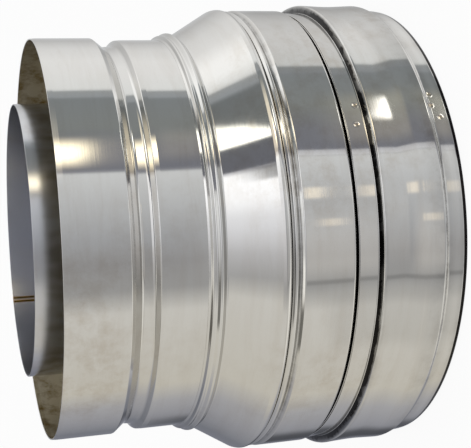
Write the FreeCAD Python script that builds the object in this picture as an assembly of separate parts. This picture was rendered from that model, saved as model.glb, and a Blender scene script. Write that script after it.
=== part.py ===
import FreeCAD, Part
import math
import os

os.makedirs("parts", exist_ok=True)

# Double-wall flue reducer, standing on its large end.
# Millimetres. +Z is the flue axis, from the large end up to the small end.
# The origin is the centre of the large end's rim.

# Sheet and clearances
casing_sheet = 0.5          # outer wall, stainless sheet
liner_sheet = 0.5           # flue liner, stainless sheet
ring_sheet = 0.6            # pressed end rings
lap_gap = 0.1               # between two sheets that slide over each other
wool_gap = 0.3              # between the wool and the sheet round it
touching = 1e-6             # two points closer than this are one

# Nominal sizes of the two flue systems that it joins
small_bore = 125.0
large_bore = 150.0
small_casing = 185.0
large_casing = 210.0

# Coupling ring, from the large rim up
hem_leg = 6.0               # leg of the rim that is folded up inside
end_strip_height = 9.4
end_strip_raise = 0.2       # end strip, outside the large casing's size
band_raise = 2.6            # edges of the band, outside the large casing's size
band_waist = 0.65           # the band is that much smaller halfway
band_height = 27.8
band_corner = 1.0
foot_step_height = 1.6      # from the end strip out to the band
shoulder_step_height = 1.0  # from the band in to the lap strip
lap_strip_drop = 1.0        # lap strip, inside the large casing's size
lap_strip_height = 8.5
band_waist_bend = 100.0

# Large shell
groove_depth = 3.8          # stop groove above the coupling ring
groove_height = 2.1
shell_height = 21.0
shell_corner = 1.3
seam_valley_depth = 1.7     # between the two ridges of the lock seam
seam_valley_height = 2.2
seam_ridge_height = 2.0
seam_lip_height = 1.2
seam_lip_drop = 1.0
seam_lap = 7.0              # how far the cone's tail reaches down inside

# Casing cone
crest_height = 1.5          # from the shell's lip up to the cone's crest
crest_raise = 1.0           # the crest's corner, outside the large casing's size
crest_bend = 2.4
cone_height = 22.8
bead_rise = 2.2             # main ridge above the cone's small end
bead_height = 2.4
bead_dip = 1.7              # valley between the main ridge and the small one
bead_dip_height = 2.0
bead_lip_rise = 0.4
bead_lip_height = 1.3
bead_foot_height = 0.8
cone_foot_raise = 0.7       # radius left at the cone's small end over the neck lap
neck_lap = 9.3              # how far the cone's sheet laps the collar's neck
soft_bend = 0.8             # common bend radius of the rolled beads

# Small collar
neck_drop = 1.0             # neck, inside the small casing's size
neck_height = 11.0          # neck left in view above the lap
neck_tail = 8.5             # neck hidden under the lap
lock_depth = 4.2            # locking groove
lock_floor = 5.2
lock_lower_wall = 2.4
lock_upper_wall = 4.4
lock_bend = 1.8
collar_height = 27.0
rim_taper_height = 2.4
rim_taper = 0.2

# Liner
liner_protrusion = 7.9      # liner above the collar's rim
liner_recess = 8.0          # from the large rim up to the mouth of the liner's socket
liner_cone_height = 26.0
liner_cone_collar = 3.0     # straight stretch at each end of the liner's cone
liner_cone_bend = 5.0
liner_cone_foot = 77.0      # height at which the liner starts to narrow
socket_clearance = 0.2      # radial, round the next liner
socket_depth = 50.0
socket_flare = 0.8
socket_flare_height = 2.5
socket_shoulder_height = 2.0

# End rings
ring_inner_flange = 8.0
ring_outer_flange = 6.0
ring_panel_rise = 2.0
ring_panel_margin = 6.0     # flat left on each side of the raised panel
ring_panel_slope = 2.0

# Radii of the casing's outer face
large_radius = large_casing / 2
small_radius = small_casing / 2
end_strip_radius = large_radius + end_strip_raise
band_radius = large_radius + band_raise
lap_strip_radius = large_radius - lap_strip_drop
groove_radius = large_radius - groove_depth
seam_valley_radius = large_radius - seam_valley_depth
neck_radius = small_radius - neck_drop
neck_lap_radius = neck_radius + casing_sheet + lap_gap
lock_radius = small_radius - lock_depth

# The rim is folded round the shell's tail, which stands a lap gap clear of the fold
hem_width = 3 * casing_sheet + 2 * lap_gap
shell_foot = hem_width / 2 + lap_gap

# Radii of the tails that sit one inside the other
shell_tail_radius = lap_strip_radius - casing_sheet - lap_gap
shell_foot_radius = end_strip_radius - casing_sheet - lap_gap
valley_slope = seam_valley_depth / min(seam_valley_height, seam_ridge_height)
cone_tail_radius = seam_valley_radius - casing_sheet * math.hypot(1, valley_slope) - lap_gap

# Radii of the liner's outer face
liner_small_radius = small_bore / 2 + liner_sheet
liner_large_radius = large_bore / 2 + liner_sheet
socket_radius = liner_large_radius + socket_clearance + liner_sheet

# Heights, from the large rim up
band_foot = end_strip_height + foot_step_height
band_top = band_foot + band_height
lap_strip_foot = band_top + shoulder_step_height
ring_top = lap_strip_foot + lap_strip_height
groove_foot = ring_top + lap_gap
groove_top = groove_foot + groove_height
shell_top = groove_top + shell_height
seam_valley_z = shell_top + seam_valley_height
seam_ridge_z = seam_valley_z + seam_ridge_height
lip_z = seam_ridge_z + seam_lip_height
crest_z = lip_z + crest_height
cone_top = crest_z + cone_height
bead_z = cone_top + bead_height
bead_dip_z = bead_z + bead_dip_height
bead_lip_z = bead_dip_z + bead_lip_height
neck_lap_foot = bead_lip_z + bead_foot_height
neck_lap_top = neck_lap_foot + neck_lap
lock_foot = neck_lap_top + neck_height
lock_floor_foot = lock_foot + lock_lower_wall
lock_floor_top = lock_floor_foot + lock_floor
lock_top = lock_floor_top + lock_upper_wall
casing_top = lock_top + collar_height
liner_top = casing_top + liner_protrusion
socket_top = liner_recess + socket_depth
liner_cone_head = liner_cone_foot + liner_cone_height
large_weld_z = liner_cone_foot - liner_cone_collar
small_weld_z = liner_cone_head + liner_cone_collar

# Radii of the cone's own features
crest_radius = large_radius + crest_raise
cone_foot_radius = neck_lap_radius + cone_foot_raise
bead_radius = cone_foot_radius + bead_rise
bead_dip_radius = bead_radius - bead_dip
bead_lip_radius = bead_dip_radius + bead_lip_rise


def direction(start, end):
    """Unit step from one outline point to the next."""
    length = math.hypot(end[0] - start[0], end[1] - start[1])
    return (end[0] - start[0]) / length, (end[1] - start[1]) / length


def beside(point, heading, distance):
    """Point at a distance to the left of a heading."""
    return point[0] - heading[1] * distance, point[1] + heading[0] * distance


def corner_pair(before, corner, after, thickness):
    """Points of a corner on both faces of the sheet.

    A corner with a bend radius gives the start, middle and end of an arc on
    each face, about one centre. A corner with none gives one mitred point.
    """
    inward = direction(before, corner)
    outward = direction(corner, after)
    cross = inward[0] * outward[1] - inward[1] * outward[0]
    dot = inward[0] * outward[0] + inward[1] * outward[1]
    half_turn = math.atan2(cross, dot) / 2
    if len(corner) == 2:
        mitre = beside(corner, inward, thickness)
        slide = -thickness * math.tan(half_turn)
        return [corner], [(mitre[0] + inward[0] * slide, mitre[1] + inward[1] * slide)]
    side = 1 if cross > 0 else -1
    radius = corner[2]
    reach = radius * math.tan(abs(half_turn))
    start = (corner[0] - inward[0] * reach, corner[1] - inward[1] * reach)
    end = (corner[0] + outward[0] * reach, corner[1] + outward[1] * reach)
    centre = beside(start, inward, side * radius)
    to_corner = direction(centre, corner)
    middle = (centre[0] + to_corner[0] * radius, centre[1] + to_corner[1] * radius)
    near = [start, middle, end]
    scale = (radius - side * thickness) / radius
    far = [(centre[0] + (p[0] - centre[0]) * scale, centre[1] + (p[1] - centre[1]) * scale) for p in near]
    return near, far


def on_section(point):
    """Point of the section, given as radius and height, in the XZ plane."""
    return FreeCAD.Vector(point[0], 0, point[1])


def path_edges(first, corners, last):
    """Straight runs joined at corners, as edges in order."""
    edges = []
    here = on_section(first)
    for corner in corners + [[last]]:
        points = [on_section(p) for p in corner]
        if (points[0] - here).Length > touching:
            edges.append(Part.makeLine(here, points[0]))
        if len(points) == 3:
            edges.append(Part.Arc(*points).toShape())
        here = points[-1]
    return edges


def spun(edges):
    """Solid made by turning a closed section once round the flue axis."""
    face = Part.Face(Part.Wire(edges))
    solid = face.revolve(FreeCAD.Vector(0, 0, 0), FreeCAD.Vector(0, 0, 1), 360)
    if solid.Volume < 0:
        solid.reverse()
    return solid


def bent_sheet(outline, thickness):
    """Sheet rolled to an outline of (radius, height) or (radius, height, bend) points.

    The outline is one face of the sheet, and the sheet lies to its left.
    """
    near = []
    far = []
    for before, corner, after in zip(outline, outline[1:], outline[2:]):
        near_points, far_points = corner_pair(before, corner, after, thickness)
        near.append(near_points)
        far.insert(0, far_points[::-1])
    first = outline[0]
    last = outline[-1]
    far_first = beside(first, direction(first, outline[1]), thickness)
    far_last = beside(last, direction(outline[-2], last), thickness)
    edges = path_edges(first, near + [[last]], far_last)
    edges += path_edges(far_last, far + [[far_first]], first)
    return spun(edges)


def coupling_ring():
    """One rolled strip: folded rim, end strip, waisted band and lap strip."""
    hem_bend = hem_width / 2
    leg_radius = end_strip_radius - hem_width
    waist_z = (band_foot + band_top) / 2
    return bent_sheet([
        (leg_radius, hem_leg),
        (leg_radius, 0, hem_bend),
        (end_strip_radius, 0, hem_bend),
        (end_strip_radius, end_strip_height),
        (band_radius, band_foot, band_corner),
        (band_radius - band_waist, waist_z, band_waist_bend),
        (band_radius, band_top, band_corner),
        (lap_strip_radius, lap_strip_foot),
        (lap_strip_radius, ring_top),
    ], casing_sheet)


def large_shell():
    """Shell with its tail inside the ring, its stop groove and the seam's ridges."""
    return bent_sheet([
        (shell_foot_radius, shell_foot),
        (shell_foot_radius, band_foot),
        (shell_tail_radius, band_foot + foot_step_height),
        (shell_tail_radius, groove_foot),
        (groove_radius, groove_foot + groove_height / 4),
        (groove_radius, groove_top - groove_height / 4),
        (large_radius, groove_top, shell_corner),
        (large_radius, shell_top, soft_bend),
        (seam_valley_radius, seam_valley_z),
        (large_radius, seam_ridge_z, soft_bend),
        (large_radius - seam_lip_drop, lip_z),
    ], casing_sheet)


def casing_cone():
    """Spun cone with its crest in the lock seam and the bead at its small end."""
    return bent_sheet([
        (cone_tail_radius, lip_z - seam_lap),
        (cone_tail_radius, lip_z),
        (crest_radius, crest_z, crest_bend),
        (cone_foot_radius, cone_top, soft_bend),
        (bead_radius, bead_z, soft_bend),
        (bead_dip_radius, bead_dip_z),
        (bead_lip_radius, bead_lip_z, soft_bend),
        (neck_lap_radius, neck_lap_foot),
        (neck_lap_radius, neck_lap_top),
    ], casing_sheet)


def small_collar():
    """Neck, locking groove and plain collar that the next casing slides over."""
    return bent_sheet([
        (neck_radius, neck_lap_top - neck_tail),
        (neck_radius, lock_foot, soft_bend),
        (lock_radius, lock_floor_foot, lock_bend),
        (lock_radius, lock_floor_top, lock_bend),
        (small_radius, lock_top, soft_bend),
        (small_radius, casing_top - rim_taper_height),
        (small_radius - rim_taper, casing_top),
    ], casing_sheet)


def liner_small_tube():
    """Liner of the small flue, whose end enters the next liner's socket."""
    return bent_sheet([
        (liner_small_radius, small_weld_z),
        (liner_small_radius, liner_top),
    ], liner_sheet)


def liner_cone():
    """Spun liner cone, with a short straight collar to weld at each end."""
    return bent_sheet([
        (liner_large_radius, large_weld_z),
        (liner_large_radius, liner_cone_foot, liner_cone_bend),
        (liner_small_radius, liner_cone_head, liner_cone_bend),
        (liner_small_radius, small_weld_z),
    ], liner_sheet)


def liner_large_tube():
    """Liner of the large flue, with its flared socket at the bottom."""
    return bent_sheet([
        (socket_radius + socket_flare, liner_recess),
        (socket_radius, liner_recess + socket_flare_height),
        (socket_radius, socket_top),
        (liner_large_radius, socket_top + socket_shoulder_height),
        (liner_large_radius, large_weld_z),
    ], liner_sheet)


def end_ring(inner_radius, outer_radius, web_z):
    """Pressed ring that centres the liner in the casing and holds the wool.

    Its flanges stand up from the web, and its middle is a raised panel.
    """
    panel_in = inner_radius + ring_panel_margin
    panel_out = outer_radius - ring_panel_margin
    panel_z = web_z + ring_panel_rise
    return bent_sheet([
        (inner_radius, web_z + ring_inner_flange),
        (inner_radius, web_z),
        (panel_in, web_z),
        (panel_in + ring_panel_slope, panel_z),
        (panel_out - ring_panel_slope, panel_z),
        (panel_out, web_z),
        (outer_radius, web_z),
        (outer_radius, web_z + ring_outer_flange),
    ], ring_sheet)


# Webs of the two end rings: one rests on the inside of the locking groove, and
# the other's flange meets the inside of the stop groove
small_web_z = lock_top + casing_sheet + lap_gap
large_web_z = groove_foot - casing_sheet - lap_gap - ring_outer_flange


def small_end_ring():
    """Ring in the collar, resting on the inside of the locking groove."""
    return end_ring(
        liner_small_radius + lap_gap,
        small_radius - casing_sheet - lap_gap,
        small_web_z,
    )


def large_end_ring():
    """Ring in the shell's tail, under the inside of the stop groove."""
    return end_ring(
        socket_radius + lap_gap,
        shell_tail_radius - casing_sheet - lap_gap,
        large_web_z,
    )


# Planes at which the strips of wool meet, at the seam and at the bead
wool_foot = large_web_z + max(ring_inner_flange, ring_outer_flange) + wool_gap
wool_seam = lip_z
wool_bead = cone_top
wool_head = small_web_z - wool_gap


def liner_side():
    """Inner limit of the wool: the liner's outer face and the clearance."""
    slope = (liner_large_radius - liner_small_radius) / liner_cone_height
    on_cone = wool_gap * math.hypot(1, slope)
    return [
        (socket_radius + wool_gap, liner_recess),
        (socket_radius + wool_gap, socket_top),
        (liner_large_radius + on_cone, socket_top + socket_shoulder_height + wool_gap),
        (liner_large_radius + on_cone, liner_cone_foot),
        (liner_small_radius + on_cone, liner_cone_head),
        (liner_small_radius + on_cone, liner_top),
    ]


def casing_side():
    """Outer limit of the wool: the casing's inner face and the clearance."""
    inside = casing_sheet + wool_gap
    slope = (crest_radius - cone_foot_radius) / cone_height
    on_cone = inside * math.hypot(1, slope)
    notch_top = groove_top + inside
    tail_foot = lip_z - seam_lap - wool_gap
    return [
        (groove_radius - inside, groove_foot),
        (groove_radius - inside, notch_top),
        (large_radius - inside, notch_top),
        (large_radius - inside, tail_foot),
        (cone_tail_radius - inside, tail_foot),
        (cone_tail_radius - inside, lip_z),
        (crest_radius - slope * crest_bend - on_cone, crest_z + crest_bend),
        (cone_foot_radius - on_cone - wool_gap, cone_top),
        (neck_radius - inside, neck_lap_top - neck_tail),
        (neck_radius - inside, lock_foot - casing_sheet),
        (lock_radius - inside, lock_floor_foot - casing_sheet),
        (lock_radius - inside, casing_top),
    ]


def side_between(corners, foot, head):
    """A side's points from one height to another, with its corners between."""
    def at(height):
        for low, high in zip(corners, corners[1:]):
            if low[1] <= height <= high[1] and high[1] > low[1]:
                share = (height - low[1]) / (high[1] - low[1])
                return low[0] + (high[0] - low[0]) * share, height
    between = [c for c in corners if foot < c[1] < head]
    return [at(foot)] + between + [at(head)]


def wool_strip(foot, head):
    """Strip of mineral wool that fills the space between the walls."""
    inner = side_between(liner_side(), foot, head)
    outer = side_between(casing_side(), foot, head)
    section = [on_section(p) for p in outer + inner[::-1]]
    return spun(Part.makePolygon(section + section[:1]).Edges)


def wool_large():
    """Strip round the large liner, from the large end ring up to the lock seam."""
    return wool_strip(wool_foot, wool_seam)


def wool_cone():
    """Strip between the two cones."""
    return wool_strip(wool_seam + wool_gap, wool_bead)


def wool_small():
    """Strip round the small liner, from the bead up to the small end ring."""
    return wool_strip(wool_bead + wool_gap, wool_head)


nodes = {
    "coupling_ring": coupling_ring,
    "large_shell": large_shell,
    "casing_cone": casing_cone,
    "small_collar": small_collar,
    "liner_small_tube": liner_small_tube,
    "liner_cone": liner_cone,
    "liner_large_tube": liner_large_tube,
    "small_end_ring": small_end_ring,
    "large_end_ring": large_end_ring,
    "wool_large": wool_large,
    "wool_cone": wool_cone,
    "wool_small": wool_small,
}

for name, make in nodes.items():
    make().exportStep("parts/" + name + ".step")
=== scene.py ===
import math

import bpy
import numpy as np
from mathutils import Matrix, Vector


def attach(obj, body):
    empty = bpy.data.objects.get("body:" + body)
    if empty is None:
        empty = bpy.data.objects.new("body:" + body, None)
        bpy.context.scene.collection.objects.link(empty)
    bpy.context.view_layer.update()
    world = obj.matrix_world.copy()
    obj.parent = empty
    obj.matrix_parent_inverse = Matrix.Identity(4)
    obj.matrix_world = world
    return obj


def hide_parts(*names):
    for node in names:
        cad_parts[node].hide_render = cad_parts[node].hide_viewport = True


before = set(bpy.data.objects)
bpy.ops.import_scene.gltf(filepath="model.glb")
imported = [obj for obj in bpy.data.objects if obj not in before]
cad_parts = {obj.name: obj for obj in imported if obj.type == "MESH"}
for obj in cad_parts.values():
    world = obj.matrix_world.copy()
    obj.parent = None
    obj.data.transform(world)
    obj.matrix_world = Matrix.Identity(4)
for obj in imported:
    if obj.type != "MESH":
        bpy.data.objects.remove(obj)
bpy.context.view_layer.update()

bl_info = {
    "name": "Double-wall flue reducer",
    "version": (1, 0, 0),
    "blender": (4, 5, 0),
    "location": "View3D > Sidebar > Flue",
    "description": "Sheet metal, finishes and studio for a double-wall flue reducer",
    "category": "Object",
}

MM = 0.001
BODY = "root"

# Clearances and small bends of the sheet, as the shop makes them
LAP_GAP = 0.1 * MM
SOFT_BEND = 0.8 * MM

# Coupling ring
HEM_LEG = 6 * MM
HEM_INNER_BEND = 0.6 * MM
HEM_PINCH = 0.35 * MM
HEM_PINCH_HEIGHT = 2.2 * MM
END_STRIP_RAISE = 0.2 * MM
BAND_RAISE = 2.6 * MM
BAND_WAIST = 0.65 * MM
BAND_WAIST_BEND = 100 * MM
BAND_CORNER = 1 * MM
FOOT_BEND = 2 * MM
FOOT_STEP = 1.6 * MM
SHOULDER_STEP = 1 * MM
LAP_STRIP_DROP = 1 * MM
LAP_STRIP_HEIGHT = 8.5 * MM

# Large shell, its stop groove and the lock seam's ridges
GROOVE_DEPTH = 3.8 * MM
GROOVE_HEIGHT = 2.1 * MM
GROOVE_LIP = 0.4 * MM
SHELL_CORNER = 1.3 * MM
VALLEY_DEPTH = 1.7 * MM
VALLEY_HEIGHT = 2.2 * MM
VALLEY_SETBACK = 0.6 * MM
RIDGE_HEIGHT = 2 * MM
LIP_HEIGHT = 1.2 * MM
LIP_DROP = 1 * MM
LIP_GRIP = 0.25 * MM
SEAM_LAP = 7 * MM

# Casing cone, its crest in the seam and the bead at its small end
CREST_HEIGHT = 1.5 * MM
CREST_RAISE = 1 * MM
CREST_BEND = 2.4 * MM
CREST_SHOULDER_HEIGHT = 3 * MM
CREST_SHOULDER_DROP = 1 * MM
BEAD_BEND = 1.1 * MM
BEAD_RISE = 2.2 * MM
BEAD_HEIGHT = 2.4 * MM
BEAD_DIP = 1.7 * MM
BEAD_DIP_HEIGHT = 2 * MM
BEAD_LIP_RISE = 0.4 * MM
BEAD_LIP_HEIGHT = 1.3 * MM
BEAD_FOOT_HEIGHT = 0.8 * MM
CONE_FOOT_RAISE = 0.7 * MM
NECK_LAP = 9.3 * MM
LAP_FEATHER = 1 * MM

# Small collar
NECK_DROP = 1 * MM
NECK_TAIL = 8.5 * MM
LOCK_DEPTH = 4.2 * MM
LOCK_FLOOR = 4.8 * MM
LOCK_FLOOR_RISE = 0.4 * MM
LOCK_LOWER_WALL = 2 * MM
LOCK_UPPER_WALL = 5.2 * MM
LOCK_BEND = 2.4 * MM
LOCK_SHOULDER = 2.2 * MM
LOCK_SHOULDER_DROP = 0.18 * MM
RIM_TAPER_HEIGHT = 2.4 * MM
RIM_TAPER = 0.2 * MM
RIM_BEND = 0.4 * MM

# Liner
LINER_RECESS = 8 * MM
LINER_CONE_HEIGHT = 26 * MM
LINER_CONE_COLLAR = 3 * MM
LINER_CONE_BEND = 5 * MM
LINER_CONE_FOOT = 77 * MM
SOCKET_CLEARANCE = 0.2 * MM
SOCKET_DEPTH = 50 * MM
SOCKET_FLARE = 0.8 * MM
SOCKET_FLARE_HEIGHT = 2.5 * MM
SOCKET_SHOULDER = 2 * MM

# End rings
INNER_FLANGE = 8 * MM
OUTER_FLANGE = 6 * MM
PANEL_RISE = 2 * MM
PANEL_MARGIN = 6 * MM
PANEL_SLOPE = 2 * MM

# Mesh fineness
TURN_STEPS = 324            # columns round the flue axis
BEND_STEP = math.radians(11)
EDGE_STEPS = 6              # across a deburred edge
EDGE_ROUND = 0.35           # depth of the rounding, in sheet thicknesses
MARK_STEP = 0.28 * MM       # rows and columns across a weld mark

# Spot welds of the coupling ring: degrees round the axis and height
LAP_SPOTS = ((27.7, 42.4 * MM), (22.6, 43.7 * MM))
END_SPOTS = ((29.9, 7.6 * MM), (26.8, 8.4 * MM), (23.6, 5.5 * MM))
SPOT_GROUPS = (0, 120, 240)

# Longitudinal butt weld of each rolled piece, in degrees round the axis
LINER_WELD = -151
COLLAR_WELD = 166
CONE_WELD = 171
SHELL_WELD = 203
RING_WELD = 148
LINER_TINT = 1              # heat left by the weld, 1 is burnt brown and 0.3 is straw
CASING_TINT = 0.22
SPOT_TINT = 0.2

# Camera, fitted to the circles of the photograph
CAMERA_PLACE = Vector((0, -500.88, 218.03)) * MM
CAMERA_DIP = 16.49          # degrees below the horizon
CAMERA_YAW = -0.238
CAMERA_ROLL = -93.16
CAMERA_LENS = 80.986
CAMERA_SENSOR = 36

# Floor: a flat disc that curls up at its edge, in metres
FLOOR_FLAT = 7
FLOOR_CURL = 1.6
FLOOR_FLAT_STEPS = 36
FLOOR_CURL_STEPS = 24
FLOOR_COLUMNS = 128
FLOOR_GLOW = 0.93           # share of plain white that the camera sees in the paper


def linear(code):
    """Linear colour of an sRGB hex value, with full alpha."""
    parts = [int(code[i:i + 2], 16) / 255 for i in (1, 3, 5)]
    return [c / 12.92 if c <= 0.04045 else ((c + 0.055) / 1.055) ** 2.4 for c in parts] + [1]


def length(name, description, value):
    """Length property in metres."""
    return bpy.props.FloatProperty(name=name, description=description, default=value, min=0, unit="LENGTH")


def colour(name, description, code):
    """Colour property from an sRGB hex value."""
    return bpy.props.FloatVectorProperty(
        name=name, description=description, default=linear(code), size=4, min=0, max=1, subtype="COLOR")


class FlueSizes(bpy.types.PropertyGroup):
    casing_sheet: length("Casing sheet", "Thickness of the outer wall", 0.5 * MM)
    liner_sheet: length("Liner sheet", "Thickness of the flue liner", 0.5 * MM)
    ring_sheet: length("End ring sheet", "Thickness of the pressed end rings", 0.6 * MM)
    small_bore: length("Small bore", "Inside diameter of the small flue", 125 * MM)
    large_bore: length("Large bore", "Inside diameter of the large flue", 150 * MM)
    small_casing: length("Small casing", "Outside diameter of the small collar", 185 * MM)
    large_casing: length("Large casing", "Outside diameter of the large shell", 210 * MM)
    end_strip_height: length("End strip", "Height of the strip at the large rim", 9.4 * MM)
    band_height: length("Band", "Height of the coupling ring's band", 27.8 * MM)
    shell_height: length("Shell", "Height of the plain shell", 21 * MM)
    cone_height: length("Cone", "Height of the casing's cone", 22.8 * MM)
    neck_height: length("Neck", "Height of neck left above the cone's lap", 11 * MM)
    collar_height: length("Collar", "Height of the collar above its locking groove", 27 * MM)
    liner_protrusion: length("Liner protrusion", "Liner that stands out of the collar", 7.9 * MM)
    spot: length("Spot weld", "Diameter of a spot weld's mark", 2.3 * MM)
    spot_depth: length("Spot weld depth", "Depth of a spot weld's dimple", 0.09 * MM)
    weld_width: length("Weld width", "Width of a longitudinal butt weld", 1.3 * MM)
    weld_height: length("Weld height", "Height of a butt weld above the sheet", 0.07 * MM)


class FlueFinish(bpy.types.PropertyGroup):
    bright: colour("Bright sheet", "Bright-annealed stainless sheet of the casing", "#D0CFCC")
    drawn: colour("Liner sheet", "Cold-rolled stainless sheet of the liner", "#C6C7CA")
    # Painted light: the bore is a lighter copy of the liner sheet, so the dim inside of the tube reads
    # brighter
    bore: colour("Liner bore", "Bright inner face of the liner", "#D9DADF")
    pressed: colour("End ring sheet", "Brushed stainless sheet of the end rings", "#CAC5B6")
    smudge: colour("Smudge", "Film of oil and dust left by handling", "#A0917C")
    # Near-black colour of the painted shade in creases, gaps and the rim's fold, with some dust and oil in
    # them
    shade_and_grime: colour("Grime", "Dust and drawing oil left in narrow corners", "#1C1A19")
    straw: colour("Straw heat tint", "Thin oxide beside a weld", "#C9A050")
    burnt: colour("Brown heat tint", "Thicker oxide on a weld", "#262019")
    dull: colour("Inner face", "Dull inner face of the casing", "#CAC5B6")
    old_oil: colour("Old oil", "Brown oil dried on the casing's inner face", "#85703F")
    wool: colour("Mineral wool", "Bonded mineral wool", "#A8A07A")


class FlueStudio(bpy.types.PropertyGroup):
    floor: colour("Floor", "Pale matt floor", "#F6F6F5")
    walls: bpy.props.FloatProperty(
        name="Walls", description="Brightness of the studio's walls", default=1, min=0)


class Layout:
    """Radii and heights of the sheet's bends, from the large rim up, in metres."""

    def __init__(self, sizes):
        sheet = sizes.casing_sheet
        # Radii of the casing's outer face
        self.large = sizes.large_casing / 2
        self.small = sizes.small_casing / 2
        self.end_strip = self.large + END_STRIP_RAISE
        self.band = self.large + BAND_RAISE
        self.lap_strip = self.large - LAP_STRIP_DROP
        self.groove = self.large - GROOVE_DEPTH
        self.valley = self.large - VALLEY_DEPTH
        self.neck = self.small - NECK_DROP
        self.neck_lap = self.neck + sheet + LAP_GAP
        self.lock = self.small - LOCK_DEPTH
        self.hem = 3 * sheet + 2 * LAP_GAP
        self.shell_foot = self.end_strip - sheet - LAP_GAP
        self.shell_tail = self.lap_strip - sheet - LAP_GAP
        slope = VALLEY_DEPTH / min(VALLEY_HEIGHT, RIDGE_HEIGHT)
        self.cone_tail = self.valley - sheet * math.hypot(1, slope) - LAP_GAP
        self.crest = self.large + CREST_RAISE
        self.cone_foot = self.neck_lap + CONE_FOOT_RAISE
        self.bead = self.cone_foot + BEAD_RISE
        self.bead_dip = self.bead - BEAD_DIP
        self.bead_lip = self.bead_dip + BEAD_LIP_RISE
        # Radii of the liner's outer face
        self.liner_small = sizes.small_bore / 2 + sizes.liner_sheet
        self.liner_large = sizes.large_bore / 2 + sizes.liner_sheet
        self.socket = self.liner_large + SOCKET_CLEARANCE + sizes.liner_sheet
        # Heights
        self.end_strip_z = sizes.end_strip_height
        self.band_foot_z = self.end_strip_z + FOOT_STEP
        self.band_top_z = self.band_foot_z + sizes.band_height
        self.lap_foot_z = self.band_top_z + SHOULDER_STEP
        self.ring_top_z = self.lap_foot_z + LAP_STRIP_HEIGHT
        self.groove_foot_z = self.ring_top_z + LAP_GAP
        self.groove_top_z = self.groove_foot_z + GROOVE_HEIGHT
        self.shell_top_z = self.groove_top_z + sizes.shell_height
        self.valley_z = self.shell_top_z + VALLEY_HEIGHT
        self.ridge_z = self.valley_z + RIDGE_HEIGHT
        self.lip_z = self.ridge_z + LIP_HEIGHT
        self.crest_z = self.lip_z + CREST_HEIGHT
        self.cone_top_z = self.crest_z + sizes.cone_height
        self.bead_z = self.cone_top_z + BEAD_HEIGHT
        self.bead_dip_z = self.bead_z + BEAD_DIP_HEIGHT
        self.bead_lip_z = self.bead_dip_z + BEAD_LIP_HEIGHT
        self.lap_z = self.bead_lip_z + BEAD_FOOT_HEIGHT
        self.lap_end_z = self.lap_z + NECK_LAP
        self.lock_foot_z = self.lap_end_z + sizes.neck_height
        self.floor_foot_z = self.lock_foot_z + LOCK_LOWER_WALL
        self.floor_top_z = self.floor_foot_z + LOCK_FLOOR
        self.lock_top_z = self.floor_top_z + LOCK_UPPER_WALL
        self.casing_top_z = self.lock_top_z + sizes.collar_height
        self.liner_top_z = self.casing_top_z + sizes.liner_protrusion
        self.socket_top_z = LINER_RECESS + SOCKET_DEPTH
        self.liner_cone_z = LINER_CONE_FOOT + LINER_CONE_HEIGHT
        self.large_weld_z = LINER_CONE_FOOT - LINER_CONE_COLLAR
        self.small_weld_z = self.liner_cone_z + LINER_CONE_COLLAR
        self.small_web_z = self.lock_top_z + sheet + LAP_GAP
        self.large_web_z = self.groove_foot_z - sheet - LAP_GAP - OUTER_FLANGE


class Mark:
    """Spot weld's dimple with its raised edge, at an angle and height on a radius."""

    def __init__(self, angle, height, radius, across, depth):
        self.angle = math.radians(angle)
        self.height = height
        self.radius = radius
        self.reach = 0.8 * across
        self.half = across / 2
        self.depth = depth

    def away(self, angle, height):
        """Distance from the middle of the mark."""
        turn = np.remainder(angle - self.angle + math.pi, 2 * math.pi) - math.pi
        return np.hypot(turn * self.radius, height - self.height)

    def relief(self, angle, height):
        """Flat-bottomed dimple with a raised edge."""
        out = self.away(angle, height) / self.half
        dimple = -np.exp(-out ** 4 * 1.4)
        edge = 0.45 * np.exp(-((out - 1.1) / 0.16) ** 2)
        return self.depth * (dimple + edge)

    def heat(self, angle, height):
        """Faint heat tint that fades outwards."""
        return SPOT_TINT * np.exp(-(self.away(angle, height) / (1.3 * self.half)) ** 2)


class Weld:
    """Longitudinal butt weld, a low bead that runs the length of the piece."""

    def __init__(self, angle, radius, sizes, tint):
        self.angle = math.radians(angle)
        self.radius = radius
        self.width = sizes.weld_width
        self.reach = 3 * self.width
        self.rise = sizes.weld_height
        self.tint = tint

    def away(self, angle):
        """Distance from the weld's middle line."""
        turn = np.remainder(angle - self.angle + math.pi, 2 * math.pi) - math.pi
        return turn * self.radius

    def relief(self, angle, height):
        """Low bead with a shallow dip along each toe."""
        out = self.away(angle) / (self.width / 2)
        return self.rise * (np.exp(-out ** 2) - 0.35 * np.exp(-((np.abs(out) - 1.5) / 0.4) ** 2))

    def heat(self, angle, height):
        """Heat tint, strongest along the two toes."""
        out = np.abs(self.away(angle)) / self.width
        toes = np.exp(-((out - 0.8) / 0.34) ** 2)
        return self.tint * (toes + 0.13 * np.exp(-(out / 1.6) ** 2)) + 0 * height


def turn_between(inward, outward):
    """Signed angle between two unit headings, left is positive."""
    return math.atan2((inward.conjugate() * outward).imag, (inward.conjugate() * outward).real)


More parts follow.
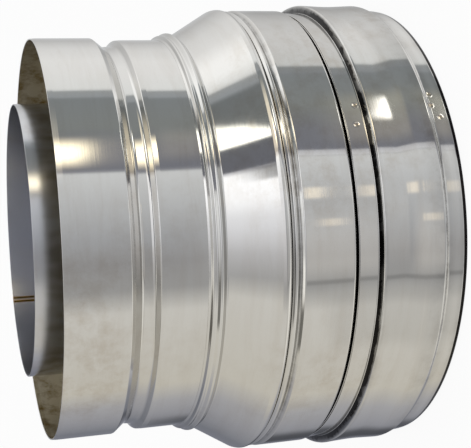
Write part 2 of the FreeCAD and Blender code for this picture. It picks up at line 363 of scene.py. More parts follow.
def bent_face(points, sheet, offset):
    """One face of a bent sheet, as (point, heading before, heading after).

    Points are complex, radius and height, with the bend of each. The sheet lies
    to the left of the outline, and the face is the outline moved left by offset.
    """
    ends = (1 - EDGE_ROUND * sheet / abs(points[1][0] - points[0][0]),
            1 - EDGE_ROUND * sheet / abs(points[-1][0] - points[-2][0]))
    first = points[1][0] + (points[0][0] - points[1][0]) * ends[0]
    last = points[-2][0] + (points[-1][0] - points[-2][0]) * ends[1]
    place = [first] + [p for p, bend in points[1:-1]] + [last]
    bends = [bend for p, bend in points]
    heads = [(b - a) / abs(b - a) for a, b in zip(place, place[1:])]
    face = [(first + heads[0] * 1j * offset, heads[0], heads[0])]
    for i in range(1, len(place) - 1):
        inward, outward = heads[i - 1], heads[i]
        turn = turn_between(inward, outward)
        side = 1 if turn > 0 else -1
        bend = bends[i] or (sheet * 1.5 if turn > 0 else sheet)
        room = 0.48 * min(abs(place[i] - place[i - 1]), abs(place[i + 1] - place[i]))
        if not bends[i]:
            bend = min(bend, room / math.tan(abs(turn) / 2))
        radius = bend - side * offset
        if radius < 0.04 * MM:
            corner = place[i] + inward * (1j - math.tan(turn / 2)) * offset
            face.append((corner, inward, outward))
            continue
        start = place[i] - inward * bend * math.tan(abs(turn) / 2)
        centre = start + side * 1j * inward * bend
        spoke = -side * 1j * inward * radius
        steps = max(3, math.ceil(abs(turn) / BEND_STEP))
        for k in range(steps + 1):
            swing = complex(math.cos(turn * k / steps), math.sin(turn * k / steps))
            face.append((centre + spoke * swing, inward * swing, inward * swing))
    face.append((last + heads[-1] * 1j * offset, heads[-1], heads[-1]))
    return face


def rounded_edge(middle, heading, sheet):
    """Deburred cut edge, from the right side of the heading to the left."""
    edge = []
    for k in range(1, EDGE_STEPS):
        swing = math.pi * (k / EDGE_STEPS - 0.5)
        out = complex(EDGE_ROUND * sheet * math.cos(swing), sheet / 2 * math.sin(swing))
        normal = complex(math.cos(swing) / EDGE_ROUND, math.sin(swing) * 2)
        edge.append((middle + heading * out, heading * normal / abs(normal)))
    return edge


def section(outline, sheet):
    """Closed section: points, outward normals before and after, and how far inside."""
    points = [(complex(p[0], p[1]), p[2] if len(p) == 3 else 0) for p in outline]
    near = bent_face(points, sheet, 0)
    far = bent_face(points, sheet, sheet)
    loop = [(p, -1j * before, -1j * after, 0) for p, before, after in near]
    tip = (near[-1][0] + far[-1][0]) / 2
    loop += [(p, n, n, 0) for p, n in rounded_edge(tip, near[-1][1], sheet)]
    loop += [(p, 1j * after, 1j * before, 1) for p, before, after in far[::-1]]
    tail = (near[0][0] + far[0][0]) / 2
    loop += [(p, n, n, 0) for p, n in rounded_edge(tail, -near[0][1], sheet)]
    kept = [loop[0]]
    for entry in loop[1:]:
        if abs(entry[0] - kept[-1][0]) > 0.001 * MM:
            kept.append(entry)
    return kept


def with_rows(loop, marks, shade_and_grime_stripes):
    """The section with extra rows on its near face where spot welds and the painted shade and grime stripes
    need them.
    """
    heights = {round(height, 7) for stripe in shade_and_grime_stripes for height, amount in stripe}
    for mark in marks:
        if isinstance(mark, Mark):
            low = math.floor((mark.height - mark.reach) / MARK_STEP)
            high = math.ceil((mark.height + mark.reach) / MARK_STEP)
            heights |= {round(k * MARK_STEP, 7) for k in range(low, high + 1)}
    heights = np.array(sorted(heights))
    rows = []
    for here, there in zip(loop, loop[1:] + loop[:1]):
        rows.append(here)
        span = there[0] - here[0]
        if abs(span.imag) < MARK_STEP / 4 or here[3] or not len(heights):
            continue
        share = np.sort((heights - here[0].imag) / span.imag)
        for s in share[(share > 0.02) & (share < 0.98)]:
            rows.append((here[0] + span * s, here[2], here[2], here[3]))
    return rows


def columns(marks):
    """Angles round the axis, closer together across each weld."""
    angles = np.linspace(-math.pi, math.pi, TURN_STEPS, endpoint=False)
    for mark in marks:
        half = mark.reach / mark.radius
        steps = math.ceil(mark.reach / MARK_STEP)
        fine = mark.angle + half * np.arange(-steps, steps + 1) / steps
        turn = np.remainder(angles - mark.angle + math.pi, 2 * math.pi) - math.pi
        angles = np.concatenate([angles[np.abs(turn) > half * 1.02], fine])
    angles = np.sort(np.remainder(angles + math.pi, 2 * math.pi) - math.pi)
    return angles[np.diff(angles, append=angles[0] + 2 * math.pi) > 1e-5]


def relief(marks, angle, height):
    """How far the sheet stands out at an angle and height."""
    return sum((mark.relief(angle, height) for mark in marks), np.zeros(np.broadcast(angle, height).shape))


def shade_and_grime_held(shade_and_grime_stripes, height):
    """How much painted shade and grime a height holds, from stripes given by their (height, amount) points.
    """
    held = np.zeros(height.shape)
    for stripe in shade_and_grime_stripes:
        heights, amounts = zip(*stripe)
        held = np.maximum(held, np.interp(height, heights, amounts, left=0, right=0))
    return held


def lathe(name, loop, marks=(), shade_and_grime_stripes=()):
    """Mesh of a closed section turned round the flue axis, with its exact normals."""
    rows = with_rows(loop, marks, shade_and_grime_stripes)
    turns = columns(marks)
    count, around = len(rows), len(turns)
    point = np.array([row[0] for row in rows])
    before = np.array([row[1] for row in rows])
    after = np.array([row[2] for row in rows])
    inside = np.array([row[3] for row in rows])
    mean = before + after
    mean /= np.abs(mean)
    angle = turns[None, :]
    height = point.imag[:, None]
    out = relief(marks, angle, height)
    radius = point.real[:, None] + mean.real[:, None] * out
    place = np.stack([radius * np.sin(angle), -radius * np.cos(angle), height + 0 * angle], axis=-1)

    up = np.roll(np.arange(count), -1)
    along = np.roll(np.arange(around), -1)
    low = np.arange(count)[:, None] * around
    high = up[:, None] * around
    faces = np.stack([low + np.arange(around), low + along, high + along, high + np.arange(around)], axis=-1)

    mesh = bpy.data.meshes.new(name)
    mesh.from_pydata(place.reshape(-1, 3), [], faces.reshape(-1, 4))
    mesh.polygons.foreach_set("use_smooth", [True] * len(mesh.polygons))

    def normals(normal, row, column):
        """Normals of a run of rows, tilted by the relief's slope."""
        n = normal[:, None]
        a = turns[column][None, :]
        h = point.imag[row][:, None]
        nudge = 0.01 * MM
        rise = (relief(marks, a, h + nudge) - relief(marks, a, h - nudge)) / (2 * nudge)
        swing = nudge / np.abs(point.real[row][:, None])
        sway = (relief(marks, a + swing, h) - relief(marks, a - swing, h)) / (2 * nudge)
        tangent = n * 1j
        tilt = n - rise * tangent.imag * tangent
        radial, axial = tilt.real + 0 * a, tilt.imag + 0 * a
        vectors = np.stack([radial * np.sin(a) - sway * np.cos(a),
                            -radial * np.cos(a) - sway * np.sin(a), axial], axis=-1)
        return vectors / np.linalg.norm(vectors, axis=-1, keepdims=True)

    here = np.arange(count)
    every = np.arange(around)
    corners = np.stack([normals(after, here, every), normals(after, here, along),
                        normals(before[up], up, along), normals(before[up], up, every)], axis=2)
    mesh.normals_split_custom_set(corners.reshape(-1, 3))
    heat = sum((mark.heat(angle, height) for mark in marks), np.zeros((count, around)))
    inside = inside[:, None] + 0 * angle
    # Painted shade, with some grime, from the stripes; none on the inner face
    shade_and_grime = shade_and_grime_held(shade_and_grime_stripes, height) * (1 - inside)
    for label, values in (("heat_tint", heat), ("shade_and_grime", shade_and_grime), ("inside", inside)):
        mesh.attributes.new(label, "FLOAT", "POINT").data.foreach_set("value", values.reshape(-1))
    return mesh


def add(tree, kind, sockets=None, **settings):
    """Adds a node, sets its options, and sets or links its sockets."""
    node = tree.nodes.new(kind)
    for name, value in settings.items():
        setattr(node, name, value)
    for name, value in (sockets or {}).items():
        if isinstance(value, bpy.types.NodeSocket):
            tree.links.new(value, node.inputs[name])
        else:
            node.inputs[name].default_value = value
    return node


def material(name):
    """New node material, with its shader and tree."""
    made = bpy.data.materials.new(name)
    made.use_nodes = True
    return made, made.node_tree, made.node_tree.nodes["Principled BSDF"]


def sheet_steel(name, sheet_colour, finish, roughness, lines, waves, smudges,
                inner_colour, inner_film, inner_roughness):
    """Stainless sheet: mirror with rolling lines, slow waves and handling smudges."""
    made, tree, shader = material(name)
    place = add(tree, "ShaderNodeTexCoord").outputs["Object"]

    # Rolling lines run round the piece, about 0.7 mm apart
    stretched = add(tree, "ShaderNodeMapping", {"Vector": place, "Scale": (20, 20, 1400)}).outputs["Vector"]
    drawn = add(tree, "ShaderNodeTexNoise", {"Vector": stretched, "Scale": 1, "Detail": 3, "Roughness": 0.7})
    # Waves left by the rolls, 30 to 50 mm long
    wave = add(tree, "ShaderNodeTexNoise", {"Vector": place, "Scale": 24, "Detail": 1})
    # Wiped smudges, 50 mm round the piece and 5 mm wide
    wiped = add(tree, "ShaderNodeMapping", {"Vector": place, "Scale": (22, 22, 190)}).outputs["Vector"]
    film = add(tree, "ShaderNodeTexNoise",
               {"Vector": wiped, "Scale": 1, "Detail": 6, "Roughness": 0.62, "Distortion": 0.4})
    film = add(tree, "ShaderNodeMapRange", {
        "Value": film.outputs["Fac"], "From Min": 0.45, "From Max": 0.8, "To Max": smudges}).outputs["Result"]
    # Dried spots of oil, 5 to 15 mm, gathered in patches of about 80 mm
    spots = add(tree, "ShaderNodeTexNoise", {"Vector": place, "Scale": 95, "Detail": 6, "Roughness": 0.7})
    patch = add(tree, "ShaderNodeTexNoise", {"Vector": place, "Scale": 12, "Detail": 2})
    held = add(tree, "ShaderNodeMapRange",
               {"Value": spots.outputs["Fac"], "From Min": 0.45, "From Max": 0.67})
    where = add(tree, "ShaderNodeMapRange",
                {"Value": patch.outputs["Fac"], "From Min": 0.44, "From Max": 0.66, "To Max": 1.9 * smudges})
    soiled = add(tree, "ShaderNodeMath", {0: held.outputs["Result"], 1: where.outputs["Result"], 2: film},
                 operation="MULTIPLY_ADD").outputs[0]

    inner = add(tree, "ShaderNodeMix", {"Factor": held.outputs["Result"], "A": inner_colour, "B": inner_film},
                data_type="RGBA").outputs["Result"]
    inside, heat, shade_and_grime = (add(tree, "ShaderNodeAttribute", attribute_name=label).outputs["Fac"]
                           for label in ("inside", "heat_tint", "shade_and_grime"))
    straw = add(tree, "ShaderNodeMapRange",
                {"Value": heat, "From Min": 0.05, "From Max": 0.45}).outputs["Result"]
    burnt = add(tree, "ShaderNodeMapRange",
                {"Value": heat, "From Min": 0.5, "From Max": 0.95, "To Max": 0.92}).outputs["Result"]
    # Painted shade and grime are black in the creases and thin out in blotches beside them
    blotch = add(tree, "ShaderNodeMapRange",
                 {"Value": held.outputs["Result"], "To Min": 1, "To Max": 2.2}).outputs["Result"]
    shade_and_grime_share = add(tree, "ShaderNodeMath", {0: shade_and_grime, 1: blotch},
                operation="MULTIPLY", use_clamp=True).outputs[0]
    tone = sheet_colour
    for share, shade in ((soiled, finish.smudge), (inside, inner), (straw, finish.straw),
                         (burnt, finish.burnt), (shade_and_grime_share, finish.shade_and_grime)):
        tone = add(tree, "ShaderNodeMix", {"Factor": share, "A": tone, "B": shade},
                   data_type="RGBA").outputs["Result"]
    tree.links.new(tone, shader.inputs["Base Color"])

    dulled = add(tree, "ShaderNodeMath", {0: film, 1: 0.2, 2: roughness}, operation="MULTIPLY_ADD").outputs[0]
    grain = add(tree, "ShaderNodeMath", {0: drawn.outputs["Fac"], 1: 0.02, 2: dulled},
                operation="MULTIPLY_ADD").outputs[0]
    rough = add(tree, "ShaderNodeMix", {"Factor": inside, "A": grain, "B": inner_roughness},
                data_type="FLOAT")
    tree.links.new(rough.outputs["Result"], shader.inputs["Roughness"])

    slow = add(tree, "ShaderNodeBump", {"Height": wave.outputs["Fac"], "Distance": waves, "Strength": 1})
    fine = add(tree, "ShaderNodeBump", {
        "Height": drawn.outputs["Fac"], "Distance": lines, "Strength": 1, "Normal": slow.outputs["Normal"]})
    tree.links.new(fine.outputs["Normal"], shader.inputs["Normal"])
    shader.inputs["Metallic"].default_value = 1
    return made


def mineral_wool(finish):
    """Bonded mineral wool: matt tangled fibre with a dull yellow-green cast."""
    made, tree, shader = material("mineral_wool_bonded")
    place = add(tree, "ShaderNodeTexCoord").outputs["Object"]
    # Fibre bundles of about 1.5 mm, laid round the liner
    laid = add(tree, "ShaderNodeMapping", {"Vector": place, "Scale": (120, 120, 650)}).outputs["Vector"]
    fibre = add(tree, "ShaderNodeTexNoise", {"Vector": laid, "Scale": 1, "Detail": 6, "Roughness": 0.75,
                                             "Distortion": 1.5})
    shade = add(tree, "ShaderNodeValToRGB", {"Fac": fibre.outputs["Fac"]})
    shade.color_ramp.elements[0].position = 0.3
    shade.color_ramp.elements[0].color = [c * 0.45 for c in finish.wool[:3]] + [1]
    shade.color_ramp.elements[1].position = 0.75
    shade.color_ramp.elements[1].color = finish.wool
    bump = add(tree, "ShaderNodeBump", {"Height": fibre.outputs["Fac"], "Distance": 0.9 * MM, "Strength": 1})
    tree.links.new(shade.outputs["Color"], shader.inputs["Base Color"])
    tree.links.new(bump.outputs["Normal"], shader.inputs["Normal"])
    shader.inputs["Roughness"].default_value = 0.95
    return made


def dressed(name, outline, sheet, steel, marks=(), shade_and_grime_stripes=()):
    """Visible sheet piece that stands for the CAD node of the same name."""
    mesh = lathe(name + "_sheet", section(outline, sheet), marks, shade_and_grime_stripes)
    mesh.materials.append(steel)
    piece = bpy.data.objects.new(name + "_sheet", mesh)
    bpy.context.scene.collection.objects.link(piece)
    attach(piece, BODY)
    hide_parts(name)
    return piece


def casing_finish(finish):
    """Bright-annealed stainless: a near mirror, so it takes crisp panels of light."""
    return bpy.data.materials.get("stainless_bright_annealed") or sheet_steel(
        "stainless_bright_annealed", finish.bright, finish, 0.045, 0.002 * MM, 0.1 * MM, 0.16,
        finish.dull, finish.old_oil, 0.34)


def liner_finish(finish):
    """Cold-rolled stainless: a duller mirror that blurs what it reflects."""
    # The inner face takes the lighter bore colour, painted light for the dim inside of the tube
    return bpy.data.materials.get("stainless_cold_rolled") or sheet_steel(
        "stainless_cold_rolled", finish.drawn, finish, 0.165, 0.004 * MM, 0.15 * MM, 0.14,
        finish.bore, finish.bore, 0.2)


def ring_finish(finish):
    """Brushed stainless: fine lines round the ring stretch the highlights across it."""
    return bpy.data.materials.get("stainless_brushed") or sheet_steel(
        "stainless_brushed", finish.pressed, finish, 0.3, 0.012 * MM, 0.1 * MM, 0.3,
        finish.pressed, finish.pressed, 0.35)


class FLUE_OT_coupling_ring(bpy.types.Operator):
    """Rolled ring with its folded rim, end strip, waisted band, lap strip and spot welds"""
    bl_idname = "flue.coupling_ring"
    bl_label = "Coupling ring"

    def execute(self, context):
        sizes, finish = context.scene.flue_sizes, context.scene.flue_finish
        at = Layout(sizes)
        leg = at.end_strip - at.hem
        outline = [
            (leg, HEM_LEG),
            (leg, 0, HEM_INNER_BEND),
            (at.end_strip - HEM_PINCH, 0, SOFT_BEND),
            (at.end_strip, HEM_PINCH_HEIGHT, SOFT_BEND),
            (at.end_strip, at.end_strip_z, FOOT_BEND),
            (at.band, at.band_foot_z, FOOT_BEND),
            (at.band - BAND_WAIST, (at.band_foot_z + at.band_top_z) / 2, BAND_WAIST_BEND),
            (at.band, at.band_top_z, BAND_CORNER),
            (at.lap_strip, at.lap_foot_z),
            (at.lap_strip, at.ring_top_z),
        ]
        marks = [Weld(RING_WELD, at.band, sizes, CASING_TINT)]
        for group in SPOT_GROUPS:
            for radius, spots in ((at.lap_strip, LAP_SPOTS), (at.end_strip, END_SPOTS)):
                for angle, height in spots:
                    marks.append(Mark(angle + group, height, radius, sizes.spot, sizes.spot_depth))
        # Painted shade with some grime darkens the foot's step; painted shade blackens the fold's crease and
        # the corner under the shoulder
        shade_and_grime_stripes = (((at.end_strip_z - 4 * MM, 0), (at.end_strip_z - 0.6 * MM, 0.12),
                   (at.end_strip_z + 0.1 * MM, 0.36), (at.band_foot_z, 0.36),
                   (at.band_foot_z + 0.6 * MM, 0.12), (at.band_foot_z + 9 * MM, 0)),
                  ((0, 1), (HEM_PINCH_HEIGHT - 0.4 * MM, 1), (HEM_PINCH_HEIGHT - 0.25 * MM, 0.1),
                   (HEM_PINCH_HEIGHT + 2 * MM, 0)),
                  ((at.lap_foot_z - 3 * MM, 0), (at.lap_foot_z - 0.9 * MM, 0.12),
                   (at.lap_foot_z - 0.5 * MM, 0.8), (at.lap_foot_z - 0.2 * MM, 0.97),
                   (at.lap_foot_z + 0.05 * MM, 0.97), (at.lap_foot_z + 0.15 * MM, 0)))
        dressed("coupling_ring", outline, sizes.casing_sheet, casing_finish(finish),
                marks, shade_and_grime_stripes)
        return {"FINISHED"}


class FLUE_OT_large_shell(bpy.types.Operator):
    """Shell with its tail inside the ring, its stop groove and the seam's ridges"""
    bl_idname = "flue.large_shell"
    bl_label = "Large shell"

    def execute(self, context):
        sizes, finish = context.scene.flue_sizes, context.scene.flue_finish
        at = Layout(sizes)
        valley_foot = at.shell_top_z + VALLEY_SETBACK
        outline = [
            (at.shell_foot, at.hem / 2 + LAP_GAP),
            (at.shell_foot, at.band_foot_z),
            (at.shell_tail, at.band_foot_z + FOOT_STEP),
            (at.shell_tail, at.groove_foot_z),
            (at.groove, at.groove_foot_z + GROOVE_HEIGHT / 4),
            (at.groove, at.groove_top_z - GROOVE_HEIGHT / 4 - GROOVE_LIP),
            (at.large, at.groove_top_z - GROOVE_LIP, SHELL_CORNER),
            (at.large, valley_foot, SOFT_BEND),
            (at.valley, at.valley_z),
            (at.large, at.ridge_z, SOFT_BEND),
            (at.large - LIP_DROP - LIP_GRIP, at.lip_z + LIP_GRIP),
        ]
        weld = Weld(SHELL_WELD, at.large, sizes, CASING_TINT)
        # Painted shade fills the narrow stop groove and the seam's valley
        shade_and_grime_stripes = (((at.groove_foot_z, 0.95), (at.groove_top_z - 0.9 * MM, 0.95),
                   (at.groove_top_z - 0.6 * MM, 0)),
                  ((valley_foot + 0.5 * MM, 0), (valley_foot + 1.1 * MM, 0.24), (at.valley_z + 0.9 * MM, 0.2),
                   (at.ridge_z - 0.5 * MM, 0)))
        dressed("large_shell", outline, sizes.casing_sheet, casing_finish(finish),
                [weld], shade_and_grime_stripes)
        return {"FINISHED"}


class FLUE_OT_casing_cone(bpy.types.Operator):
    """Spun cone with its crest in the lock seam and the bead at its small end"""
    bl_idname = "flue.casing_cone"
    bl_label = "Casing cone"

    def execute(self, context):
        sizes, finish = context.scene.flue_sizes, context.scene.flue_finish
        at = Layout(sizes)
        outline = [
            (at.cone_tail, at.lip_z - SEAM_LAP),
            (at.cone_tail, at.lip_z),
            (at.crest, at.crest_z, CREST_BEND),
            (at.crest - CREST_SHOULDER_DROP, at.crest_z + CREST_SHOULDER_HEIGHT, CREST_BEND),
            (at.cone_foot, at.cone_top_z, SOFT_BEND),
            (at.bead, at.bead_z, BEAD_BEND),
            (at.bead_dip, at.bead_dip_z, BEAD_BEND),
            (at.bead_lip, at.bead_lip_z, SOFT_BEND),
            (at.neck_lap, at.lap_z),
            (at.neck, at.lap_z + LAP_FEATHER),
        ]
        weld = Weld(CONE_WELD, at.cone_foot, sizes, CASING_TINT)
        dressed("casing_cone", outline, sizes.casing_sheet, casing_finish(finish), [weld])
        return {"FINISHED"}


class FLUE_OT_small_collar(bpy.types.Operator):
    """Neck, locking groove and plain collar that the next casing slides over"""
    bl_idname = "flue.small_collar"
    bl_label = "Small collar"

    def execute(self, context):
        sizes, finish = context.scene.flue_sizes, context.scene.flue_finish
        at = Layout(sizes)
        outline = [
            (at.neck, at.lap_end_z - NECK_TAIL),
            (at.neck, at.lock_foot_z - LOCK_SHOULDER, SOFT_BEND),
            (at.neck - LOCK_SHOULDER_DROP, at.lock_foot_z, SOFT_BEND),
            (at.lock + LOCK_FLOOR_RISE, at.floor_foot_z, LOCK_BEND),
            (at.lock, at.floor_top_z, LOCK_BEND),
            (at.small, at.lock_top_z, SOFT_BEND),
            (at.small, at.casing_top_z - RIM_TAPER_HEIGHT, RIM_BEND),
            (at.small - RIM_TAPER, at.casing_top_z),
        ]
        weld = Weld(COLLAR_WELD, at.small, sizes, CASING_TINT)
        dressed("small_collar", outline, sizes.casing_sheet, casing_finish(finish), [weld])
        return {"FINISHED"}


class FLUE_OT_liner(bpy.types.Operator):
    """Flue liner: small tube, spun cone and large tube with its flared socket"""
    bl_idname = "flue.liner"
    bl_label = "Liner"

    def execute(self, context):
        sizes, finish = context.scene.flue_sizes, context.scene.flue_finish
        at = Layout(sizes)
        small_tube = [
            (at.liner_small, at.small_weld_z),
            (at.liner_small, at.liner_top_z),
        ]
        cone = [
            (at.liner_large, at.large_weld_z),
            (at.liner_large, LINER_CONE_FOOT, LINER_CONE_BEND),
            (at.liner_small, at.liner_cone_z, LINER_CONE_BEND),
            (at.liner_small, at.small_weld_z),
        ]
        large_tube = [
            (at.socket + SOCKET_FLARE, LINER_RECESS),
            (at.socket, LINER_RECESS + SOCKET_FLARE_HEIGHT),
            (at.socket, at.socket_top_z),
            (at.liner_large, at.socket_top_z + SOCKET_SHOULDER),
            (at.liner_large, at.large_weld_z),
        ]
        steel = liner_finish(finish)
        for name, outline, radius in (
                ("liner_small_tube", small_tube, at.liner_small),
                ("liner_cone", cone, at.liner_small),
                ("liner_large_tube", large_tube, at.socket)):
            weld = Weld(LINER_WELD, radius, sizes, LINER_TINT)
            dressed(name, outline, sizes.liner_sheet, steel, [weld])
        return {"FINISHED"}


class FLUE_OT_end_rings(bpy.types.Operator):
    """Pressed rings that centre the liner in the casing and hold the wool"""
    bl_idname = "flue.end_rings"
    bl_label = "End rings"

    def execute(self, context):
        sizes, finish = context.scene.flue_sizes, context.scene.flue_finish
        at = Layout(sizes)
        inside = sizes.casing_sheet + LAP_GAP
        for name, inner, outer, web in (
                ("small_end_ring", at.liner_small + LAP_GAP, at.small - inside, at.small_web_z),
                ("large_end_ring", at.socket + LAP_GAP, at.shell_tail - inside, at.large_web_z)):
            outline = [
                (inner, web + INNER_FLANGE),
                (inner, web),
                (inner + PANEL_MARGIN, web),
                (inner + PANEL_MARGIN + PANEL_SLOPE, web + PANEL_RISE),
                (outer - PANEL_MARGIN - PANEL_SLOPE, web + PANEL_RISE),
                (outer - PANEL_MARGIN, web),
                (outer, web),
                (outer, web + OUTER_FLANGE),
            ]
            dressed(name, outline, sizes.ring_sheet, ring_finish(finish))
        return {"FINISHED"}


class FLUE_OT_wool(bpy.types.Operator):
    """Mineral wool between the walls, on the strips that the frame brings"""
    bl_idname = "flue.wool"
    bl_label = "Mineral wool"

    def execute(self, context):
        wool = mineral_wool(context.scene.flue_finish)
        for name in ("wool_large", "wool_cone", "wool_small"):
            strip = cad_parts[name]
            strip.data.materials.clear()
            strip.data.materials.append(wool)
        return {"FINISHED"}


# Studio walls round the object: degrees round the axis, colour at each end
WALLS = (
    (-180, "#C8CACC", -172, "#B8BABE"),
    (-162, "#787A84", -148, "#7C7F88"),
    (-128, "#A3A4AB", -112, "#B8B8BC"),
    (-96, "#DAD6CC", -44, "#E2E0DB"),
    (-31, "#AEAEAE", -16, "#A6A6A8"),
    (-2, "#B6B8BC", 34.3, "#E6E8EA"),
    (35.3, "#83858F", 48, "#84868E"),
    (62, "#8F9393", 81.5, "#8E9396"),
    (82.5, "#A6ABB0", 87.4, "#ACB0B2"),
    (88.8, "#FAFCFC", 104, "#FFFFFF"),
    (116, "#FFFFFF", 132, "#EEEEEE"),
    (150, "#C4C4C4", 172, "#C0C2C4"),
    (180, "#C8CACC", 180, "#C8CACC"),
)
WALL_LIGHT = 1.12

# Parts of the walls that stay dark: from and to round the axis, from and to in
# height, softness of the two sides and of the top and foot, share of light kept
SHADES = (
    ("dark_beam", -190, 34, 51, 62, 1, 4, 1.8, 0.3),
    ("dark_beam_far", 82, 190, 51, 62, 4, 1, 1.8, 0.3),
    ("table_edge", -30.5, -28.3, -60, -17, 0.7, 0.7, 3, 0.72),
    ("dark_room_high", 36, 81, 24, 50, 1, 1, 6, 0.78),
    ("dark_room_corner", 28, 36, 36, 43.4, 1, 0.5, 1.4, 0.32),
    ("shaded_wall", 82, 178, -24.5, -17, 0.6, 1, 1, 0.78),
    ("shaded_wall_low", 82, 178, -36, -24.5, 0.6, 1, 1, 0.9),
    ("table_worn", -66, -36, -36, -21.2, 6, 4, 0.3, 0.87),
    ("bench_shadow", -156, -138, -26, -12, 6, 6, 3, 0.4),
)

# Panels of light on the walls, placed as above, with colour and strength
PANELS = (
    ("white_floor", -190, 190, -91, -44, 1, 1, 7, "#FFFFFF", 0.3),
    ("white_floor_below", -190, 190, -91, -76, 1, 1, 7, "#FFFFFF", 0.2),
    ("ceiling", -190, 190, 63.5, 91, 1, 1, 2, "#FFFFFF", 0.45),
    ("overhead_softbox", -18, 36.2, 7, 50, 24, 0.6, 2, "#FBFAFF", 0.55),
    ("bench_edge", 34.6, 37.3, -40, -16, 0.4, 0.4, 1, "#FFFFFF", 0.5),
    ("table_glow", -26, 4, -26, -17, 7, 12, 4, "#FFF8EC", 0.23),
    ("table_glow_low", -20, 12, -38, -28.8, 8, 8, 0.8, "#FFF8EC", 0.1),
    ("softbox_core", 12, 36.2, 38, 49, 8, 0.6, 2, "#FFFFFF", 0.27),
    ("cone_white", 92, 112, 12, 50, 6, 8, 4, "#FFFFFF", 0.28),
    ("strip_lamp", 41, 51.7, -8.7, 12, 5.3, 5.3, 0.9, "#FFF0CC", 3),
    ("strip_lamp_glow", 39, 54, -10.5, 0, 5, 5, 2, "#FFF2D4", 0.14),
    ("neck_glow", 42, 58, -15, -12.4, 5, 5, 0.5, "#FFF0CC", 0.12),
    ("lamp_wash", 36, 70, 1.8, 29.5, 6, 11, 2.6, "#FFF0D2", 0.95),
    ("work_lamp", 51.6, 70, 37.3, 52, 0.9, 3, 0.5, "#FFFDF2", 2.9),
    ("work_lamp_glow", 52, 72, 37, 54, 2, 4, 2, "#FFFDF2", 0.12),
    ("work_lamp_in_table", 54, 66, -38, -28.8, 2.4, 2.6, 0.6, "#FFFDF6", 3.2),
    ("table_haze", 42, 68, -35, -22.2, 5, 5, 1.2, "#FFF0C4", 0.15),
    ("window_near", 12.6, 18, -21.15, -20.35, 1, 1, 0.3, "#FFE9C0", 0.85),
    ("window_mid", 12.6, 18, -27.4, -23.4, 1, 1, 0.6, "#FFE9C0", 0.5),
    ("window_low", 12.6, 18, -28.5, -27.8, 1, 1, 0.3, "#FFE9C0", 0.5),
    ("window_far", -1.4, 2, -22.2, -21.3, 0.7, 0.7, 0.3, "#FFE9C0", 0.5),
)


def window(tree, turn, rise, label, left, right, foot, top, soft_left, soft_right, soft_ends):
    """Mask of a window in the walls, one inside it and soft at its edges."""
    mask = 1
    for value, edge, soft, out, within in (
            (turn, left, soft_left, 0, 1), (turn, right, soft_right, 1, 0),
            (rise, foot, soft_ends, 0, 1), (rise, top, soft_ends, 1, 0)):
        sockets = {"Value": value, "From Min": edge - soft, "From Max": edge + soft,
                   "To Min": out, "To Max": within}
        step = add(tree, "ShaderNodeMapRange", sockets, interpolation_type="SMOOTHSTEP").outputs["Result"]
        mask = add(tree, "ShaderNodeMath", {0: step, 1: mask}, operation="MULTIPLY").outputs[0]
    mask.node.label = label
    return mask


def studio_world(studio):
    """World painted as the studio: walls by direction round the axis, and panels."""
    world = bpy.data.worlds.new("studio")
    world.use_nodes = True
    tree = world.node_tree
    tree.nodes.clear()
    look = add(tree, "ShaderNodeTexCoord").outputs["Generated"]
    part = add(tree, "ShaderNodeSeparateXYZ", {"Vector": look}).outputs
    back = add(tree, "ShaderNodeMath", {0: part["Y"], 1: -1}, operation="MULTIPLY").outputs[0]
    turn = add(tree, "ShaderNodeMath", {0: part["X"], 1: back}, operation="ARCTAN2").outputs[0]
    turn = add(tree, "ShaderNodeMath", {0: turn}, operation="DEGREES").outputs[0]
    rise = add(tree, "ShaderNodeMath", {0: part["Z"]}, operation="ARCSINE").outputs[0]
    rise = add(tree, "ShaderNodeMath", {0: rise}, operation="DEGREES").outputs[0]

    round_axis = add(tree, "ShaderNodeMapRange", {"Value": turn, "From Min": -180, "From Max": 180})
    walls = add(tree, "ShaderNodeValToRGB", {"Fac": round_axis.outputs["Result"]})
    stops = walls.color_ramp.elements
    placed = sorted({(a, c) for left, lc, right, rc in WALLS for a, c in ((left, lc), (right, rc))})
    while len(stops) < len(placed):
        stops.new(1)
    for stop, (angle, code) in zip(stops, placed):
        stop.position = angle / 360 + 0.5
    for stop, (angle, code) in zip(stops, placed):
        stop.color = linear(code)
    light = add(tree, "ShaderNodeVectorMath",
                {0: walls.outputs["Color"], "Scale": WALL_LIGHT}, operation="SCALE").outputs[0]

    for *place, code, strength in PANELS:
        mask = window(tree, turn, rise, *place)
        glow = [c * strength for c in linear(code)[:3]]
        light = add(tree, "ShaderNodeVectorMath", {0: mask, 1: glow, 2: light},
                    operation="MULTIPLY_ADD").outputs[0]
    for *place, keep in SHADES:
        mask = window(tree, turn, rise, *place)
        share = add(tree, "ShaderNodeMapRange",
                    {"Value": mask, "To Min": 1, "To Max": keep}).outputs["Result"]
        light = add(tree, "ShaderNodeVectorMath", {0: light, "Scale": share}, operation="SCALE").outputs[0]
    shine = add(tree, "ShaderNodeBackground", {"Color": light, "Strength": studio.walls})
    add(tree, "ShaderNodeOutputWorld", {"Surface": shine.outputs["Background"]})
    return world


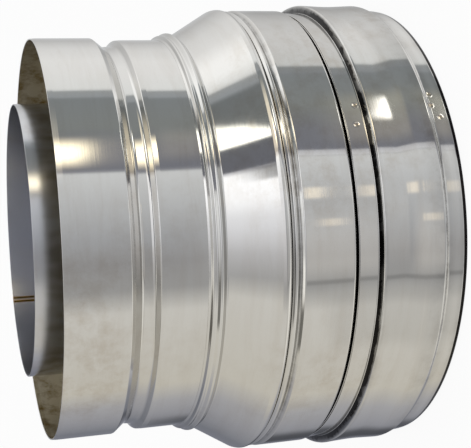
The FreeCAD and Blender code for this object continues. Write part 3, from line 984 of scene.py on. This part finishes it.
def white_paper(studio):
    """Matt white paper: a plain ground that keeps only a faint shadow."""
    made, tree, shader = material("paper_matt_white")
    place = add(tree, "ShaderNodeTexCoord").outputs["Object"]
    # Cloudy tone of the sheet, over about 0.3 m
    cloud = add(tree, "ShaderNodeTexNoise", {"Vector": place, "Scale": 3, "Detail": 3})
    tone = add(tree, "ShaderNodeMapRange", {"Value": cloud.outputs["Fac"], "To Min": 0.985, "To Max": 1})
    paper = add(tree, "ShaderNodeVectorMath",
                {0: studio.floor[:3], "Scale": tone.outputs["Result"]}, operation="SCALE")
    tree.links.new(paper.outputs[0], shader.inputs["Base Color"])
    shader.inputs["Roughness"].default_value = 0.9
    shader.inputs["Specular IOR Level"].default_value = 0.2
    # Seen by the camera the paper is mostly plain white, and the rest keeps the shadow
    seen = add(tree, "ShaderNodeLightPath").outputs["Is Camera Ray"]
    share = add(tree, "ShaderNodeMath", {0: seen, 1: FLOOR_GLOW}, operation="MULTIPLY")
    plain = add(tree, "ShaderNodeEmission", {"Color": (1, 1, 1, 1), "Strength": 1})
    both = add(tree, "ShaderNodeMixShader",
               {0: share.outputs[0], 1: shader.outputs[0], 2: plain.outputs[0]})
    tree.links.new(both.outputs[0], tree.nodes["Material Output"].inputs["Surface"])
    return made


def floor_mesh():
    """Flat disc with an upward curl at its far edge."""
    curl = np.linspace(0.05, 1.5, FLOOR_CURL_STEPS)
    reach = np.concatenate([np.linspace(0, FLOOR_FLAT, FLOOR_FLAT_STEPS)[1:],
                            FLOOR_FLAT + FLOOR_CURL * np.sin(curl)])
    lift = np.concatenate([np.zeros(FLOOR_FLAT_STEPS - 1), FLOOR_CURL * (1 - np.cos(curl))])
    around = np.linspace(0, 2 * math.pi, FLOOR_COLUMNS, endpoint=False)
    rings = np.stack([np.outer(reach, np.cos(around)), np.outer(reach, np.sin(around)),
                      np.outer(lift, np.ones(FLOOR_COLUMNS))], axis=-1)
    points = np.concatenate([[[0, 0, 0]], rings.reshape(-1, 3)])
    here = np.arange(FLOOR_COLUMNS)
    along = np.roll(here, -1)
    low = 1 + np.arange(len(rings) - 1)[:, None] * FLOOR_COLUMNS
    high = low + FLOOR_COLUMNS
    quads = np.stack([low + here, high + here, high + along, low + along], axis=-1).reshape(-1, 4)
    fan = np.stack([0 * here, 1 + here, 1 + along], axis=-1)
    mesh = bpy.data.meshes.new("floor")
    mesh.from_pydata(points, [], fan.tolist() + quads.tolist())
    mesh.polygons.foreach_set("use_smooth", [True] * len(mesh.polygons))
    return mesh


class FLUE_OT_stage(bpy.types.Operator):
    """Camera, pale floor and soft studio light"""
    bl_idname = "flue.stage"
    bl_label = "Stage"

    def execute(self, context):
        scene = context.scene
        studio = scene.flue_studio
        view = bpy.data.cameras.new("view")
        view.lens = CAMERA_LENS
        view.sensor_width = CAMERA_SENSOR
        view.clip_start = 10 * MM
        view.clip_end = 60
        camera = bpy.data.objects.new("view", view)
        aim = (Matrix.Rotation(math.radians(CAMERA_YAW), 4, "Z")
               @ Matrix.Rotation(math.radians(90 - CAMERA_DIP), 4, "X")
               @ Matrix.Rotation(math.radians(CAMERA_ROLL), 4, "Z"))
        camera.matrix_world = Matrix.Translation(CAMERA_PLACE) @ aim
        scene.collection.objects.link(camera)
        scene.camera = camera

        mesh = floor_mesh()
        mesh.materials.append(white_paper(studio))
        floor = bpy.data.objects.new("floor", mesh)
        scene.collection.objects.link(floor)
        floor.visible_glossy = False

        scene.world = studio_world(studio)
        scene.view_settings.view_transform = "Standard"
        return {"FINISHED"}


STEPS = (FLUE_OT_coupling_ring, FLUE_OT_large_shell, FLUE_OT_casing_cone, FLUE_OT_small_collar,
         FLUE_OT_liner, FLUE_OT_end_rings, FLUE_OT_wool, FLUE_OT_stage)


class FLUE_PT_panel(bpy.types.Panel):
    """Sizes, finishes and steps of the flue reducer"""
    bl_idname = "FLUE_PT_panel"
    bl_label = "Flue reducer"
    bl_space_type = "VIEW_3D"
    bl_region_type = "UI"
    bl_category = "Flue"

    def draw(self, context):
        for group in (context.scene.flue_sizes, context.scene.flue_finish, context.scene.flue_studio):
            box = self.layout.box()
            for name in group.__annotations__:
                box.prop(group, name)
        for step in STEPS:
            self.layout.operator(step.bl_idname)


CLASSES = (FlueSizes, FlueFinish, FlueStudio, *STEPS, FLUE_PT_panel)


def register():
    for made in CLASSES:
        bpy.utils.register_class(made)
    bpy.types.Scene.flue_sizes = bpy.props.PointerProperty(type=FlueSizes)
    bpy.types.Scene.flue_finish = bpy.props.PointerProperty(type=FlueFinish)
    bpy.types.Scene.flue_studio = bpy.props.PointerProperty(type=FlueStudio)


def unregister():
    del bpy.types.Scene.flue_sizes
    del bpy.types.Scene.flue_finish
    del bpy.types.Scene.flue_studio
    for made in reversed(CLASSES):
        bpy.utils.unregister_class(made)


def main():
    register()
    bpy.ops.flue.coupling_ring()
    bpy.ops.flue.large_shell()
    bpy.ops.flue.casing_cone()
    bpy.ops.flue.small_collar()
    bpy.ops.flue.liner()
    bpy.ops.flue.end_rings()
    bpy.ops.flue.wool()
    bpy.ops.flue.stage()


if __name__ == "__main__":
    main()
